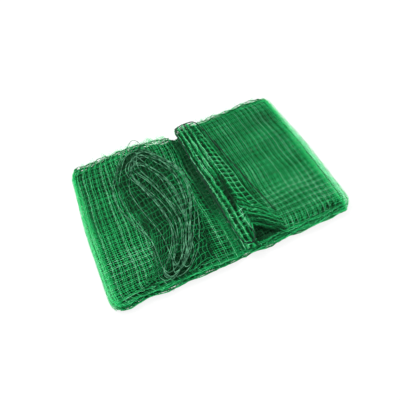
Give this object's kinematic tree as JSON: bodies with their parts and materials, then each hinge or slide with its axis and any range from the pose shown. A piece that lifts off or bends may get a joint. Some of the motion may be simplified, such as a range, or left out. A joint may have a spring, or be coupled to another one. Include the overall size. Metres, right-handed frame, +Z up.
{
  "type": "animal protection netting",
  "caption": "Folded pack of green square-mesh protection netting with a doubled strip, a border cord and a loose hank of cord on top.",
  "frame": {"origin": "middle of the flat underside of the folded net, on the surface that it rests on", "axes": "+X along the pack, from the folds beside the hank to the folds beside the strip; +Y from the front ragged edge to the back one; +Z up from the surface"},
  "size_m": [0.375, 0.2659, 0.0327],
  "materials": {
    "net": "slightly glossy knitted polyethylene",
    "border_cord": "dull twisted polyethylene cord",
    "hank": "dull twisted polyethylene cord, paler than the net"
  },
  "bodies": {
    "root": {"net": "net", "border_cord": "border_cord", "cord_hank": "hank"}
  },
  "joints": []
}
